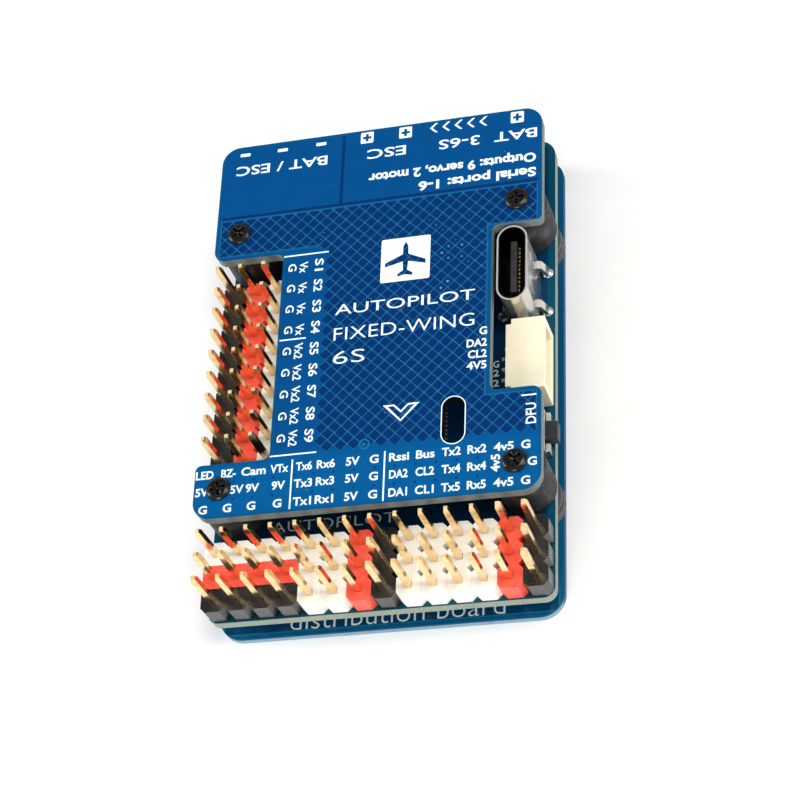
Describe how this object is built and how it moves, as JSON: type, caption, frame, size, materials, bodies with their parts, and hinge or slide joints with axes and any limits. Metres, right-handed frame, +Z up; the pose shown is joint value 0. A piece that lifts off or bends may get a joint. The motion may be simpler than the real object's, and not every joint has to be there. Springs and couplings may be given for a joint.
{
  "type": "flight controller board",
  "caption": "Stacked fixed-wing flight controller: power board, controller board with servo pin headers, USB port and boot button, and a blue label plate on rubber spacers.",
  "frame": {"origin": "centre of the four-hole mounting pattern, on the underside of the power board", "axes": "+X towards the side with the USB port, side connector and boot button; +Y towards the battery pad end; +Z up, out of the printed face of the label plate"},
  "size_m": [0.0367, 0.0543, 0.013],
  "materials": {
    "board_blue": "glass-fibre laminate under glossy blue solder mask with white print",
    "plate_blue": "glass-fibre laminate under satin blue solder mask with white print",
    "black_screw": "black oxide steel",
    "dark_rubber": "dark moulded rubber, matt",
    "grey_rubber": "mid grey moulded rubber, satin",
    "black_header": "black moulded nylon",
    "red_header": "red moulded nylon",
    "white_header": "white moulded nylon",
    "gold_pin": "thin gold plating on drawn square wire",
    "tin_plate": "tin plate and bright solder",
    "bright_steel": "pressed nickel-plated sheet",
    "black_nylon": "black moulded nylon",
    "cream_nylon": "natural cream nylon",
    "button_grey": "dark grey moulded plastic",
    "chip_black": "black epoxy moulding",
    "ceramic_tan": "tan ceramic with tinned ends",
    "ferrite_grey": "pressed grey iron powder",
    "clear_resin": "milky clear resin"
  },
  "bodies": {
    "board_stack": {"power_board": "board_blue", "controller_board": "board_blue", "label_plate": "plate_blue", "plate_screws": "black_screw", "upper_spacers": "dark_rubber", "lower_spacers": "grey_rubber", "spacer_washers": "dark_rubber", "mounting_grommets": "dark_rubber", "servo_ground_strip": "black_header", "servo_power_strip": "red_header", "servo_signal_strip": "white_header", "servo_header_pins": "gold_pin", "aux_ground_strip": "black_header", "aux_power_strip": "red_header", "aux_signal_strip": "white_header", "aux_header_pins": "gold_pin", "uart_tx_strip": "white_header", "uart_rx_strip": "white_header", "uart_power_strip": "red_header", "uart_ground_strip": "black_header", "uart_header_pins": "gold_pin", "signal_strip_1": "white_header", "signal_strip_2": "white_header", "signal_strip_3": "white_header", "signal_strip_4": "white_header", "signal_power_strip": "red_header", "signal_ground_strip": "black_header", "signal_header_pins": "gold_pin", "usb_shell": "bright_steel", "usb_tongue": "black_nylon", "usb_contacts": "gold_pin", "usb_base": "black_nylon", "side_connector_housing": "cream_nylon", "side_connector_contacts": "tin_plate", "side_connector_tabs": "tin_plate", "boot_switch_base": "black_nylon", "boot_switch_cover": "bright_steel", "link_header": "black_nylon", "link_socket": "black_nylon", "link_pins": "gold_pin", "processor_body": "chip_black", "processor_leads": "tin_plate", "display_chip": "chip_black", "display_chip_leads": "tin_plate", "motion_sensor": "chip_black", "pressure_sensor": "bright_steel", "clock_crystal": "bright_steel", "status_lights": "clear_resin", "bypass_capacitors": "ceramic_tan", "power_inductors": "ferrite_grey", "regulator_chips": "chip_black", "current_shunts": "chip_black", "power_capacitors": "ceramic_tan", "battery_pads": "tin_plate"},
    "boot_button": {"boot_button": "button_grey"}
  },
  "joints": [
    {"name": "boot_button_press", "type": "slide", "parent": "board_stack", "child": "boot_button", "axis": [-1, 0, 0], "range_m": [0, 0.00025], "stiffness_N_per_m": 2000}
  ]
}
